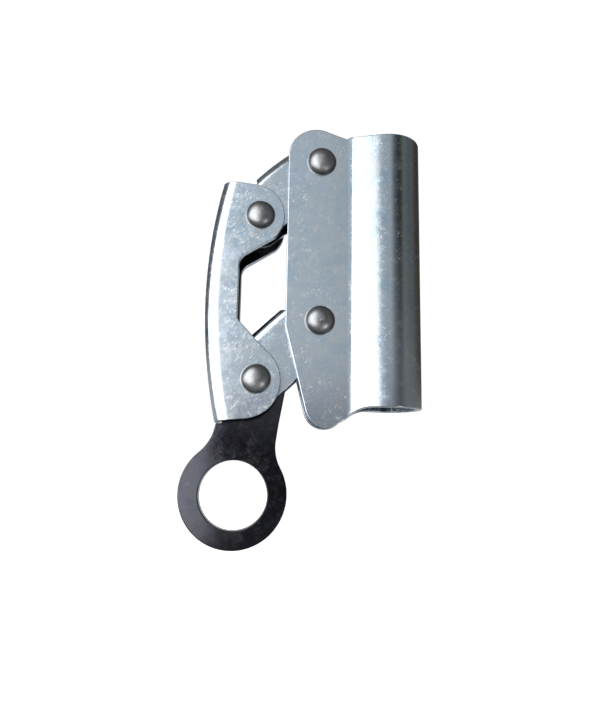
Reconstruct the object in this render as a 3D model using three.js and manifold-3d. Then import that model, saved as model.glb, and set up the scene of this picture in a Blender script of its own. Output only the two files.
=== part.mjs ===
import * as THREE from 'three';
import { mergeGeometries, mergeVertices } from 'three/addons/utils/BufferGeometryUtils.js';
import Module from 'manifold-3d';

// A rope grab for a 16 to 18 mm vertical rope, in millimetres.
// The origin is on the rope's axis at mid-height of the sleeve's tube.
// +X points from the handle to the sleeve's back, +Z up the rope, Y is across the plates.
// Everything is the same on both sides of the plane Y = 0, except the spring.

const wasm = await Module();
wasm.setup();

// Fits
const GAP = 0.3;              // clearance kept between separate pieces

// Plates
const PLATE = 2.5;            // steel plate of sleeve and handle
const CHEEK_OUT = 8.75;       // outside of the sleeve's and handle's cheeks, from Y = 0
const CHEEK_IN = CHEEK_OUT - PLATE;

// Linkage: two equal arms on four rivets, a parallelogram
const RIVET_SPACING = 62.5;   // between the two rivets of the sleeve, and of the handle
const ARM_LENGTH = 32;        // rivet to rivet along an arm
const ARM_SLOPE = 44;         // degrees the arms fall toward the handle when closed
const SLEEVE_RIVET_X = -26.5;
const SLEEVE_RIVET_TOP = 41.75;

// Sleeve
const TUBE_OUT = 12.5;
const TUBE_IN = TUBE_OUT - PLATE;
const TUBE_HALF = 52.5;       // half the height of the rope tube
const THROAT_ANGLE = 15.8;    // degrees the plate spreads from cheek to tube
const THROAT_BEND = 1.5;      // bend radius where the spreading starts
const SLEEVE_EDGE_X = -39.25; // free edge of the cheeks

// Handle
const HANDLE_RADIUS = 200;    // curve of the handle's back
const HANDLE_CENTRE = [130.4, -13];
const HANDLE_BEND = 4.5;      // outside bend radius
const HANDLE_DEPTH = 36;      // deepest reach of the cheeks from the back

// Arms
const ARM_PLATE = 2;
const ARM_OUT = 5.9;          // outside of an arm's cheeks, from Y = 0
const ARM_IN = ARM_OUT - ARM_PLATE;
const ARM_BEND = 4;           // outside bend radius
const ARM_DEPTH = 26;

// Pins
const RIVET_HEAD = 5.25;
const RIVET_RIM = 0.4;        // straight wall under the dome
const RIVET_DOME = 2.9;
const RIVET_SHANK = 3;
const RIVET_HOLE = RIVET_SHANK + GAP;
const BUSH_RADIUS = 4.5;
const BUSH_HALF = CHEEK_IN - GAP;
const BUSH_HOLE = BUSH_RADIUS + GAP;
const DOWEL_RADIUS = 1.5;
const DOWEL_HALF = 5.7;
const DOWEL_BACK = 8.8;       // from a sleeve rivet back along the arm to its jaw's dowel

// Jaws
const JAW_CORE_HALF = ARM_IN - GAP;
const JAW_HEAD_HALF = 5.75;
const JAW_HUB = 9.6;
const JAW_CLEAR = 10.4;       // inside this radius the head is cut away for the arm's cheeks
const JAW_OPEN = 55;          // degrees from closed to fully open
const JAW_OPEN_REACH = 17;    // reach from the rivet when open: clears an 18 mm rope
const JAW_FACE_RADIUS = 59.6; // very shallow curve of the toothed face
const JAW_FACE_TOP = 50;      // degrees on that curve where the teeth start
const JAW_FACE_LOW = 33.2;    // and where they end, at the nose
const JAW_TOP = 10.8;         // height of the jaw's flat top over its rivet
const JAW_TEETH = 8;
const TOOTH_DEPTH = 1.3;

// Eye plate
const EYE_HALF = 2.5;
const EYE_HOLE = 12.5;
const EYE_OUTER = 19.7;
const EYE_DROP = 42.3;        // from its rivet to the centre of the eye
const EYE_RIM = [-0.15, -42.1]; // centre of the ring's outer edge, from the rivet
const EYE_LEAN = 10;          // degrees the hanging plate leans toward the handle's back
const EYE_NECK = 11.3;
const EYE_WAIST = 11.5;
const EYE_FILLET = 16;
const WASHER = 0.8;
const WASHER_RADIUS = 8.5;

// Spring
const WIRE = 0.6;
const COIL = 6.3;
const COIL_TURNS = 3;
const COIL_HALF = 2.3;

const RAD = Math.PI / 180;
const ALONG = [Math.cos(ARM_SLOPE * RAD), Math.sin(ARM_SLOPE * RAD)];
const ACROSS = [-ALONG[1], ALONG[0]];

// Rivet centres as [x, z]
const SLEEVE_UPPER = [SLEEVE_RIVET_X, SLEEVE_RIVET_TOP];
const SLEEVE_LOWER = [SLEEVE_RIVET_X, SLEEVE_RIVET_TOP - RIVET_SPACING];
const HANDLE_UPPER = place(SLEEVE_UPPER, -ARM_LENGTH, 0);
const HANDLE_LOWER = place(SLEEVE_LOWER, -ARM_LENGTH, 0);

// A point measured along and square to the arms, from a start point
function place(start, along, across) {
  return [
    start[0] + along * ALONG[0] + across * ACROSS[0],
    start[1] + along * ALONG[1] + across * ACROSS[1],
  ];
}

// Points on an arc, angles in degrees
function arc(centre, radius, from, to, steps) {
  const points = [];
  for (let i = 0; i <= steps; i += 1) {
    const angle = (from + ((to - from) * i) / steps) * RAD;
    points.push([centre[0] + radius * Math.cos(angle), centre[1] + radius * Math.sin(angle)]);
  }
  return points;
}

function polar(centre, radius, angle) {
  return [centre[0] + radius * Math.cos(angle * RAD), centre[1] + radius * Math.sin(angle * RAD)];
}

function shapeOf(points) {
  return new THREE.Shape(points.map(([x, y]) => new THREE.Vector2(x, y)));
}

function solid(geometry) {
  const bare = geometry.index ? geometry.toNonIndexed() : geometry.clone();
  bare.deleteAttribute('normal');
  bare.deleteAttribute('uv');
  const merged = mergeVertices(bare, 1e-4);
  const triangles = [];
  const index = merged.index.array;
  for (let i = 0; i < index.length; i += 3) {
    const [a, b, c] = [index[i], index[i + 1], index[i + 2]];
    if (a !== b && b !== c && c !== a) {
      triangles.push(a, b, c);
    }
  }
  const build = (list) => new wasm.Manifold(new wasm.Mesh({
    numProp: 3,
    vertProperties: new Float32Array(merged.attributes.position.array),
    triVerts: new Uint32Array(list),
  }));
  const first = build(triangles);
  return first.volume() > 0 ? first : build(triangles.reverse());
}

// A side outline in [x, z], as thick as y1 to y2
function slab(points, y1, y2) {
  const options = { depth: y2 - y1, bevelEnabled: false };
  const geometry = new THREE.ExtrudeGeometry(shapeOf(points), options);
  geometry.rotateX(Math.PI / 2);
  geometry.translate(0, y2, 0);
  return solid(geometry);
}

function plate(points, half) {
  return slab(points, -half, half);
}

// A plan outline in [x, y], from z1 up to z2
function column(points, z1, z2) {
  const options = { depth: z2 - z1, bevelEnabled: false };
  const geometry = new THREE.ExtrudeGeometry(shapeOf(points), options);
  geometry.translate(0, 0, z1);
  return solid(geometry);
}

// A profile in [radius, y] turned about a line along Y through centre
function turned(profile, centre, segments) {
  const points = profile.map(([x, y]) => new THREE.Vector2(x, y));
  const geometry = new THREE.LatheGeometry(points, segments);
  geometry.translate(centre[0], 0, centre[1]);
  return solid(geometry);
}

function peg(centre, radius, half, segments = 24) {
  const geometry = new THREE.CylinderGeometry(radius, radius, 2 * half, segments);
  geometry.translate(centre[0], 0, centre[1]);
  return solid(geometry);
}

// A folded channel whose back is curved about centre, cheeks pointing to the centre
function channel(centre, radius, half, wall, bend, depth, segments) {
  const inner = bend - wall;
  const near = radius - depth;
  const outside = [
    [near, -half],
    ...arc([radius - bend, -half + bend], bend, -90, 0, 4),
    ...arc([radius - bend, half - bend], bend, 0, 90, 4),
    [near, half],
  ];
  const inside = [
    [near, half - wall],
    ...arc([radius - bend, half - bend], inner, 90, 0, 2),
    ...arc([radius - bend, -half + bend], inner, 0, -90, 2),
    [near, -half + wall],
  ];
  return turned([...outside, ...inside, outside[0]], centre, segments);
}

// Plan of the sleeve's plate: cheeks, spreading throat and rope tube
function sleevePlan() {
  const tilt = THROAT_ANGLE * RAD;
  const bendY = CHEEK_OUT + THROAT_BEND;
  const bendX = (bendY * Math.cos(tilt) - TUBE_OUT - THROAT_BEND) / Math.sin(tilt);
  const turn = 90 + THROAT_ANGLE;
  const bendOut = arc([bendX, bendY], THROAT_BEND, -90, -90 + THROAT_ANGLE, 2);
  const bendIn = arc([bendX, bendY], THROAT_BEND + PLATE, -90, -90 + THROAT_ANGLE, 2);
  const flip = (points) => points.map(([x, y]) => [x, -y]);
  const free = SLEEVE_EDGE_X - 6;
  return [
    [free, CHEEK_OUT],
    ...bendOut,
    ...arc([0, 0], TUBE_OUT, turn, -turn, 26),
    ...flip(bendOut).reverse(),
    [free, -CHEEK_OUT],
    [free, -CHEEK_IN],
    ...flip(bendIn),
    ...arc([0, 0], TUBE_IN, -turn, turn, 22),
    ...bendIn.slice().reverse(),
    [free, CHEEK_IN],
  ];
}

// Side view of the sleeve
function sleeveSide() {
  const right = TUBE_OUT + 1;
  return [
    ...arc([-28.4, 44.4], 10.85, 180, 64, 10),
    [-16.7, 51.6],
    [-15.2, TUBE_HALF],
    [right, TUBE_HALF],
    [right, -TUBE_HALF],
    ...arc([-7, -TUBE_HALF - 11.9], 11.9, 90, 137, 5),
    ...arc([-23.7, -52], 7.9, -43, -166, 9),
    [SLEEVE_EDGE_X, -23],
  ];
}

function sleeve() {
  const body = column(sleevePlan(), -70, 70).intersect(plate(sleeveSide(), 20));
  return body
    .subtract(peg(SLEEVE_UPPER, RIVET_HOLE, 20))
    .subtract(peg(SLEEVE_LOWER, RIVET_HOLE, 20));
}

// Side view of the handle, open toward its curved back
function handleSide() {
  return [
    [-80, 32.7],
    [-58, 32.7],
    ...arc([-52.7, 19.5], 12.45, 82, -42, 10),
    ...arc([-51.95, 0.05], 4.95, 124, 180, 4),
    ...arc([-52.9, -19.2], 4, 180, 222, 3),
    ...arc([-54.4, -43.5], 14, 53, -88, 11),
    [-63.5, -58.5],
    [-80, -58.5],
  ];
}

function handle() {
  const back = channel(HANDLE_CENTRE, HANDLE_RADIUS, CHEEK_OUT, PLATE, HANDLE_BEND, HANDLE_DEPTH, 180);
  return back
    .intersect(plate(handleSide(), 20))
    .subtract(peg(HANDLE_UPPER, RIVET_HOLE, 20))
    .subtract(peg(HANDLE_LOWER, RIVET_HOLE, 20));
}

// One arm: a short channel, its back up and toward the handle
function arm(outer, inner, webRadius, webPeak, side) {
  const centre = place(outer, webPeak[0], webPeak[1] - webRadius);
  const segments = webRadius > 150 ? 160 : 90;
  const body = channel(centre, webRadius, ARM_OUT, ARM_PLATE, ARM_BEND, ARM_DEPTH, segments);
  return body
    .intersect(plate(side, 10))
    .subtract(peg(outer, BUSH_HOLE, 10))
    .subtract(peg(inner, BUSH_HOLE, 10))
    .subtract(peg(inner, JAW_HUB + 2 * GAP, ARM_IN, 32))
    .subtract(peg(place(inner, -DOWEL_BACK, 0), DOWEL_RADIUS + GAP, 10, 16));
}

function upperArm() {
  const edge = 8.3;
  const side = [
    [-51.1, 38],
    ...arc(HANDLE_UPPER, edge, 101, 314, 10),
    ...arc(SLEEVE_UPPER, edge, -46, 130, 9),
    place(HANDLE_UPPER, 26.4, 9.2),
    place(HANDLE_UPPER, 25.6, 16),
  ];
  return arm(HANDLE_UPPER, SLEEVE_UPPER, 100, [13, 14], side);
}

function lowerArm() {
  const edge = 9.8;
  const side = [
    [-53, -20],
    ...arc(HANDLE_LOWER, edge, 111, 314, 10),
    ...arc(SLEEVE_LOWER, edge, -46, 154, 9),
    [-42, -16.5],
    [-45, -13],
  ];
  return arm(HANDLE_LOWER, SLEEVE_LOWER, 250, [17, 14.4], side);
}

// Toothed face of a jaw about its rivet, from its top down to the nose
function jawFace(centre) {
  const middle = polar(centre, JAW_OPEN_REACH - JAW_FACE_RADIUS, JAW_OPEN);
  const pitch = (JAW_FACE_LOW - JAW_FACE_TOP) / JAW_TEETH;
  const points = [];
  for (let i = 0; i < JAW_TEETH; i += 1) {
    points.push(polar(middle, JAW_FACE_RADIUS - TOOTH_DEPTH, JAW_FACE_TOP + pitch * i));
    points.push(polar(middle, JAW_FACE_RADIUS, JAW_FACE_TOP + pitch * (i + 0.85)));
  }
  return points;
}

// A cast jaw: hub on the bush, tail on the dowel, wide toothed head toward the rope
function jaw(centre) {
  const dowel = place(centre, -DOWEL_BACK, 0);
  const [x, z] = centre;
  const head = [
    [x + 11, z + JAW_TOP],
    ...jawFace(centre),
    polar(centre, 24.6, -8),
    polar(centre, 23, -13),
    polar(centre, 15.5, -34),
    polar(centre, JAW_HUB, -62),
    polar(centre, 7, 0),
    polar(centre, JAW_HUB - 0.2, 86),
    [x + 5, z + JAW_TOP],
  ];
  const tail = [
    ...arc(centre, JAW_HUB, -76, 164, 20),
    ...arc(dowel, 3.9, 150, 300, 8),
  ];
  const core = plate(tail, JAW_CORE_HALF).add(plate(head, JAW_CORE_HALF));
  const wide = plate(head, JAW_HEAD_HALF).subtract(peg(centre, JAW_CLEAR, 10, 32));
  return core
    .add(wide)
    .subtract(peg(centre, BUSH_HOLE, 10))
    .subtract(peg(dowel, DOWEL_RADIUS + GAP, 10, 16));
}

function jawDowel(centre) {
  return peg(place(centre, -DOWEL_BACK, 0), DOWEL_RADIUS, DOWEL_HALF, 16);
}

// Rivet with a shallow dome at both ends
function rivet(centre) {
  const under = CHEEK_OUT + GAP;
  const top = [[RIVET_SHANK, under], [RIVET_HEAD, under]];
  for (const [x, y] of arc([0, 0], 1, 0, 90, 5)) {
    top.push([Math.max(RIVET_HEAD * x, 0), under + RIVET_RIM + RIVET_DOME * y]);
  }
  top[top.length - 1][0] = 0;
  const bottom = top.map(([x, y]) => [x, -y]).reverse();
  return turned([...bottom, ...top], centre, 22);
}

function ring(centre, outer, inner, y1, y2, segments = 24) {
  return turned([[inner, y1], [outer, y1], [outer, y2], [inner, y2], [inner, y1]], centre, segments);
}

function bush(centre) {
  return ring(centre, BUSH_RADIUS, RIVET_HOLE, -BUSH_HALF, BUSH_HALF, 22);
}

// Hollow curve from the eye plate's waist into its ring, on the side given by 1 or -1
function eyeFillet(side) {
  const reach = EYE_OUTER + EYE_FILLET;
  const away = side * (EYE_WAIST + EYE_FILLET) - EYE_RIM[0];
  const rise = Math.sqrt(reach ** 2 - away ** 2);
  const slope = Math.asin(rise / reach) / RAD;
  const centre = [EYE_RIM[0] + away, EYE_RIM[1] + rise];
  const from = side > 0 ? 180 : 0;
  return { slope, points: arc(centre, EYE_FILLET, from, from + side * slope, 4) };
}

// The eye plate in its own upright frame: rivet at [0, 0], eye straight below
function eyePlate() {
  const bottom = -EYE_DROP;
  const left = eyeFillet(-1);
  const right = eyeFillet(1);
  const outline = [
    ...arc([0, 0], EYE_NECK, 0, 150, 10),
    [-9, -17.75],
    [-EYE_WAIST, -18.15],
    ...left.points,
    ...arc(EYE_RIM, EYE_OUTER, 180 - left.slope, 360 + right.slope, 28),
    ...right.points.reverse(),
    [EYE_NECK, -14],
  ];
  const lean = -EYE_LEAN * RAD;
  const swing = ([x, z]) => [
    HANDLE_LOWER[0] + x * Math.cos(lean) - z * Math.sin(lean),
    HANDLE_LOWER[1] + x * Math.sin(lean) + z * Math.cos(lean),
  ];
  return plate(outline.map(swing), EYE_HALF)
    .subtract(peg(HANDLE_LOWER, BUSH_HOLE, 10))
    .subtract(peg(swing([0, bottom]), EYE_HOLE, 10, 40));
}

function eyeWasher(side) {
  const near = EYE_HALF + GAP;
  const [y1, y2] = side > 0 ? [near, near + WASHER] : [-near - WASHER, -near];
  return ring(HANDLE_LOWER, WASHER_RADIUS, BUSH_HOLE, y1, y2, 24);
}

// Round wire along a path, closed at both ends
function wire(points, radius, steps, sides) {
  const path = new THREE.CatmullRomCurve3(points, false, 'centripetal');
  const tube = new THREE.TubeGeometry(path, steps, radius, sides, false);
  tube.deleteAttribute('normal');
  tube.deleteAttribute('uv');
  const spots = tube.attributes.position;
  const caps = [];
  for (let i = 0; i < sides; i += 1) {
    const last = steps * (sides + 1);
    for (const [centre, a, b] of [
      [points[0], i, i + 1],
      [points[points.length - 1], last + i + 1, last + i],
    ]) {
      caps.push(centre.x, centre.y, centre.z);
      for (const corner of [a, b]) {
        caps.push(spots.getX(corner), spots.getY(corner), spots.getZ(corner));
      }
    }
  }
  const cap = new THREE.BufferGeometry();
  cap.setAttribute('position', new THREE.Float32BufferAttribute(caps, 3));
  return solid(mergeGeometries([tube.toNonIndexed(), cap]));
}

// Torsion spring round the upper handle rivet: one leg on the handle's back, one on the arm's back
function torsionSpring() {
  const [x, z] = HANDLE_UPPER;
  const start = 270;
  const end = start + 360 * COIL_TURNS + 90.8;
  const steps = 46;
  const points = [];
  for (const reach of [-15.6, -10, -5, -2]) {
    points.push(new THREE.Vector3(x + reach, -COIL_HALF, z - COIL));
  }
  for (let i = 0; i <= steps; i += 1) {
    const angle = (start + ((end - start) * i) / steps) * RAD;
    const y = -COIL_HALF + (2 * COIL_HALF * i) / steps;
    points.push(new THREE.Vector3(x + COIL * Math.cos(angle), y, z + COIL * Math.sin(angle)));
  }
  const leave = points[points.length - 1];
  const [tipX, tipZ] = place(HANDLE_UPPER, 17.5, 9.6);
  for (const share of [0.15, 0.5, 1]) {
    const nextX = leave.x + (tipX - leave.x) * share;
    const nextZ = leave.z + (tipZ - leave.z) * share;
    points.push(new THREE.Vector3(nextX, COIL_HALF, nextZ));
  }
  return wire(points, WIRE, 66, 6);
}

const STEEL = { color: 0xb4bcc2, roughness: 0.35, metalness: 1 };
const DARK_STEEL = { color: 0x55595c, roughness: 0.3, metalness: 1 };
const HARD_STEEL = { color: 0x6a6660, roughness: 0.5, metalness: 1 };
const RIVET_STEEL = { color: 0x9b9a93, roughness: 0.4, metalness: 1 };
const BRONZE = { color: 0x9a7b4c, roughness: 0.45, metalness: 1 };
const SPRING_STEEL = { color: 0x8c9196, roughness: 0.25, metalness: 1 };

const rope_grab = new THREE.Group();
rope_grab.name = 'rope_grab';

function addPart(name, body, look) {
  const { vertProperties, triVerts } = body.getMesh();
  const geometry = new THREE.BufferGeometry();
  geometry.setAttribute('position', new THREE.BufferAttribute(new Float32Array(vertProperties), 3));
  geometry.setIndex(new THREE.BufferAttribute(new Uint32Array(triVerts), 1));
  geometry.computeVertexNormals();
  const mesh = new THREE.Mesh(geometry, new THREE.MeshStandardMaterial(look));
  mesh.name = name;
  rope_grab.add(mesh);
}

addPart('sleeve', sleeve(), STEEL);
addPart('sleeve_rivet_upper', rivet(SLEEVE_UPPER), RIVET_STEEL);
addPart('sleeve_rivet_lower', rivet(SLEEVE_LOWER), RIVET_STEEL);
addPart('sleeve_bush_upper', bush(SLEEVE_UPPER), BRONZE);
addPart('sleeve_bush_lower', bush(SLEEVE_LOWER), BRONZE);
addPart('upper_arm', upperArm(), STEEL);
addPart('lower_arm', lowerArm(), STEEL);
addPart('upper_jaw', jaw(SLEEVE_UPPER), HARD_STEEL);
addPart('lower_jaw', jaw(SLEEVE_LOWER), HARD_STEEL);
addPart('upper_jaw_pin', jawDowel(SLEEVE_UPPER), SPRING_STEEL);
addPart('lower_jaw_pin', jawDowel(SLEEVE_LOWER), SPRING_STEEL);
addPart('handle', handle(), STEEL);
addPart('handle_rivet_upper', rivet(HANDLE_UPPER), RIVET_STEEL);
addPart('handle_rivet_lower', rivet(HANDLE_LOWER), RIVET_STEEL);
addPart('handle_bush_upper', bush(HANDLE_UPPER), BRONZE);
addPart('handle_bush_lower', bush(HANDLE_LOWER), BRONZE);
addPart('eye_plate', eyePlate(), DARK_STEEL);
addPart('eye_washer_front', eyeWasher(-1), SPRING_STEEL);
addPart('eye_washer_back', eyeWasher(1), SPRING_STEEL);
addPart('torsion_spring', torsionSpring(), SPRING_STEEL);

export default rope_grab;
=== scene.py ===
import math

import bmesh
import bpy
import numpy as np
from mathutils import Matrix, Vector
from mathutils.geometry import delaunay_2d_cdt


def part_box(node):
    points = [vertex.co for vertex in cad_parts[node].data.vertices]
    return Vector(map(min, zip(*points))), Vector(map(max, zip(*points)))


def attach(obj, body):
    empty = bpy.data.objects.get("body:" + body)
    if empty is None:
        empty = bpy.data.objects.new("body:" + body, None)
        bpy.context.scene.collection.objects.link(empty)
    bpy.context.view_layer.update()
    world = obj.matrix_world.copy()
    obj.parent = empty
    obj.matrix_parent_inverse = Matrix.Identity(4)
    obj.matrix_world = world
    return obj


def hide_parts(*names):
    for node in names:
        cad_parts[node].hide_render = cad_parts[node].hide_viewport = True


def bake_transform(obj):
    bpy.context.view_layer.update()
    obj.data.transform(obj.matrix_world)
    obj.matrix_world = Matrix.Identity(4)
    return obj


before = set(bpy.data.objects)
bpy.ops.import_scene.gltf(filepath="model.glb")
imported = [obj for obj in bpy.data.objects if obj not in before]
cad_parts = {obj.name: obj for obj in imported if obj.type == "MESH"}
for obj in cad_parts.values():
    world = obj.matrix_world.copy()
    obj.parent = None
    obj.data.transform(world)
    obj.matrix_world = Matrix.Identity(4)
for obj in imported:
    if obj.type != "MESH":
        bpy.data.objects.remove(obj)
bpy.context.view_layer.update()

# Sizes are in millimetres here, and meshes are made in metres.
MM = 0.001


def middle(node):
    """Centre of a CAD node's box as (x, z), in millimetres."""
    low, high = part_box(node)
    return ((low.x + high.x) / 2 / MM, (low.z + high.z) / 2 / MM)


SLEEVE_UPPER = middle("sleeve_rivet_upper")
SLEEVE_LOWER = middle("sleeve_rivet_lower")
HANDLE_UPPER = middle("handle_rivet_upper")
HANDLE_LOWER = middle("handle_rivet_lower")

GAP = 0.3
PLATE = 2.5
CHEEK_OUT = 8.75
CHEEK_IN = CHEEK_OUT - PLATE
ARM_SLOPE = 44
TUBE_OUT = 12.5
TUBE_HALF = 52.5
THROAT_ANGLE = 15.8
THROAT_FOLD = 8.0             # middle radius of the fold where the plate starts to spread
THROAT_EASE = 2.8             # the tube's curve starts and ends gradually over twice this length
SLEEVE_EDGE_X = -39.25
SLEEVE_BEVEL = 0.4
HANDLE_RADIUS = 200
HANDLE_CENTRE = (130.4, -13)
HANDLE_BEND = 4.5
HANDLE_BEVEL = 0.35
FOLD_EASE = 0.45              # a fold starts and ends gradually, over this share of its radius each way
ARM_PLATE = 2
ARM_OUT = 5.9
ARM_BEND = 4
ARM_BEVEL = 0.22
RIVET_HEAD = 5.25
RIVET_RIM = 0.4               # height of the head's side below its dome
RIVET_SKIRT = 0.38            # how far the pressed rim reaches past the head
RIVET_DOME = 2.9
RIVET_SHANK = 3
RIVET_HOLE = RIVET_SHANK + GAP
BUSH_RADIUS = 4.5
BUSH_HOLE = BUSH_RADIUS + GAP
DOWEL_RADIUS = 1.5
DOWEL_HALF = 5.7
DOWEL_BACK = 8.8
DOWEL_HOLE = DOWEL_RADIUS + 0.1
JAW_CORE_HALF = 3.6
JAW_HEAD_HALF = 5.75
JAW_HUB = 9.6
JAW_CLEAR = 10.4
JAW_BEVEL = 0.12
JAW_OPEN = 55
JAW_OPEN_REACH = 17
JAW_FACE_RADIUS = 59.6
JAW_FACE_TOP = 50
JAW_FACE_LOW = 33.2
JAW_TOP = 10.8
JAW_TEETH = 8
TOOTH_DEPTH = 1.3
EYE_HALF = 2.5
EYE_HOLE = 12.5
EYE_OUTER = 19.7
EYE_DROP = 42.3
EYE_RIM = (-0.15, -42.1)
EYE_LEAN = 10
EYE_NECK = 11.3
EYE_WAIST = 11.5
EYE_FILLET = 16
EYE_BEVEL = 0.38
WASHER = 0.8
WASHER_RADIUS = 8.5
WIRE = 0.6
COIL = 6.3
COIL_TURNS = 3
COIL_HALF = 2.3

CAMERA_TURN = (-1.634, 9.545, -1.035)             # yaw, pitch and roll in degrees
CAMERA_PLACE = (-39.963, -234.129, -74.568)
CAMERA_LENS = 31.205

# The studio's sizes are in metres.
FLOOR_REACH = 12.0
FLOOR_LEVEL = -0.55
WINDOW_EDGE = -0.097          # right edge of the window, which draws the white bands on the steel
WINDOW_WIDTH = 1.3
WINDOW_Y = -0.222
WINDOW_LOW = -0.16
WINDOW_HIGH = 0.23
WINDOW_LEAN = 3.0

ALONG = (math.cos(math.radians(ARM_SLOPE)), math.sin(math.radians(ARM_SLOPE)))


# ---- Plane geometry ----

def place(start, along, across):
    """A point measured along and square to the arms, from a start point."""
    return (
        start[0] + along * ALONG[0] - across * ALONG[1],
        start[1] + along * ALONG[1] + across * ALONG[0],
    )


def polar(centre, radius, angle):
    turn = math.radians(angle)
    return (centre[0] + radius * math.cos(turn), centre[1] + radius * math.sin(turn))


def arc(centre, radius, start, end, step=5):
    """Points on an arc, angles in degrees, one every step degrees or closer."""
    count = max(2, math.ceil(abs(end - start) / step))
    return [polar(centre, radius, start + (end - start) * i / count) for i in range(count + 1)]


def circle(centre, radius, count=48):
    return [polar(centre, radius, 360 * i / count) for i in range(count)]


def soften(points, radius=0.7, limit=16):
    """Rounds the corners of a closed outline that turn more than limit degrees."""
    points = [p for i, p in enumerate(points) if math.dist(p, points[i - 1]) > 0.01]
    result = []
    total = len(points)
    for i in range(total):
        before, here, after = (np.array(points[(i + k) % total], float) for k in (-1, 0, 1))
        come, go = here - before, after - here
        near, far = np.linalg.norm(come), np.linalg.norm(go)
        come, go = come / near, go / far
        turn = math.atan2(come[0] * go[1] - come[1] * go[0], float(come @ go))
        if abs(math.degrees(turn)) < limit:
            result.append(tuple(here))
            continue
        reach = min(radius * math.tan(abs(turn) / 2), near * 0.49, far * 0.49)
        curve = reach / math.tan(abs(turn) / 2)
        side = 1 if turn > 0 else -1
        start = here - come * reach
        centre = start + side * curve * np.array([-come[1], come[0]])
        steps = max(2, round(abs(math.degrees(turn)) / 15))
        for k in range(steps + 1):
            angle = turn * k / steps
            c, s = math.cos(angle), math.sin(angle)
            arm = start - centre
            result.append((centre[0] + c * arm[0] - s * arm[1], centre[1] + s * arm[0] + c * arm[1]))
    return result


def divide(points, longest, closed=True):
    """Splits the long edges of an outline."""
    result = []
    for i, here in enumerate(points if closed else points[:-1]):
        after = points[(i + 1) % len(points)]
        length = math.dist(here, after)
        if length < 1e-6:
            continue
        parts = max(1, math.ceil(length / longest))
        for k in range(parts):
            share = k / parts
            result.append((here[0] + (after[0] - here[0]) * share, here[1] + (after[1] - here[1]) * share))
    return result if closed else result + [points[-1]]


def signed_area(loop):
    x, y = loop[:, 0], loop[:, 1]
    return 0.5 * float(np.sum(x * np.roll(y, -1) - np.roll(x, -1) * y))


def outward(loop, is_hole):
    """Directions out of the metal at each point of a loop, stretched at corners."""
    side = 1 if signed_area(loop) > 0 else -1
    if is_hole:
        side = -side
    ahead = np.roll(loop, -1, axis=0) - loop
    ahead /= np.linalg.norm(ahead, axis=1)[:, None]
    normals = side * np.stack([ahead[:, 1], -ahead[:, 0]], axis=1)
    mean = normals + np.roll(normals, 1, axis=0)
    mean /= np.linalg.norm(mean, axis=1)[:, None]
    stretch = 1 / np.clip(np.sum(mean * normals, axis=1), 0.6, 1)
    return mean, stretch


def inside(spots, loops):
    """Even-odd test of spots against closed loops."""
    result = np.zeros(len(spots), bool)
    x, y = spots[:, 0][:, None], spots[:, 1][:, None]
    for loop in loops:
        ax, ay = loop[:, 0], loop[:, 1]
        bx, by = np.roll(ax, -1), np.roll(ay, -1)
        crosses = (ay > y) != (by > y)
        with np.errstate(divide="ignore", invalid="ignore"):
            at = ax + (y - ay) * (bx - ax) / (by - ay)
        result ^= (np.sum(crosses & (x < at), axis=1) % 2).astype(bool)
    return result


def distance(spots, loops):
    """Distance of each spot to the nearest edge of the loops."""
    best = np.full(len(spots), 1e9)
    for loop in loops:
        start = loop[None, :, :]
        edge = (np.roll(loop, -1, axis=0) - loop)[None, :, :]
        away = spots[:, None, :] - start
        share = np.sum(away * edge, axis=2) / np.maximum(np.sum(edge * edge, axis=2), 1e-12)
        gap = away - np.clip(share, 0, 1)[:, :, None] * edge
        best = np.minimum(best, np.sqrt(np.sum(gap * gap, axis=2)).min(axis=1))
    return best


# ---- Sheet metal: a flat blank with rounded edges, folded by a mapping ----

def inner_columns(loops, columns, step, margin):
    """Lines of points across the blank, so that folds and curves have enough faces."""
    low = min(loop[:, 1].min() for loop in loops)
    high = max(loop[:, 1].max() for loop in loops)
    count = max(2, math.ceil((high - low) / step))
    rows = np.linspace(low, high, count + 1)
    spots, edges = [], []
    for column in columns:
        line = np.stack([np.full(len(rows), column), rows], axis=1)
        kept = inside(line, loops) & (distance(line, loops) > margin)
        joined = False
        for k, keep in enumerate(kept):
            if keep:
                spots.append(line[k])
            if keep and joined:
                centre = (line[k] + line[k - 1])[None, :] / 2
                if distance(centre, loops)[0] > margin / 2:
                    edges.append((len(spots) - 2, len(spots) - 1))
            joined = keep
    return spots, edges


def new_piece(name, vertices, faces, normals=None):
    mesh = bpy.data.meshes.new(name)
    mesh.from_pydata([tuple(v) for v in vertices], [], faces)
    shape = bmesh.new()
    shape.from_mesh(mesh)
    bmesh.ops.recalc_face_normals(shape, faces=shape.faces)
    shape.to_mesh(mesh)
    shape.free()
    mesh.shade_smooth()
    if normals is not None:
        mesh.normals_split_custom_set_from_vertices([tuple(n) for n in normals])
    piece = bpy.data.objects.new(name, mesh)
    bpy.context.scene.collection.objects.link(piece)
    return piece


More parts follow.
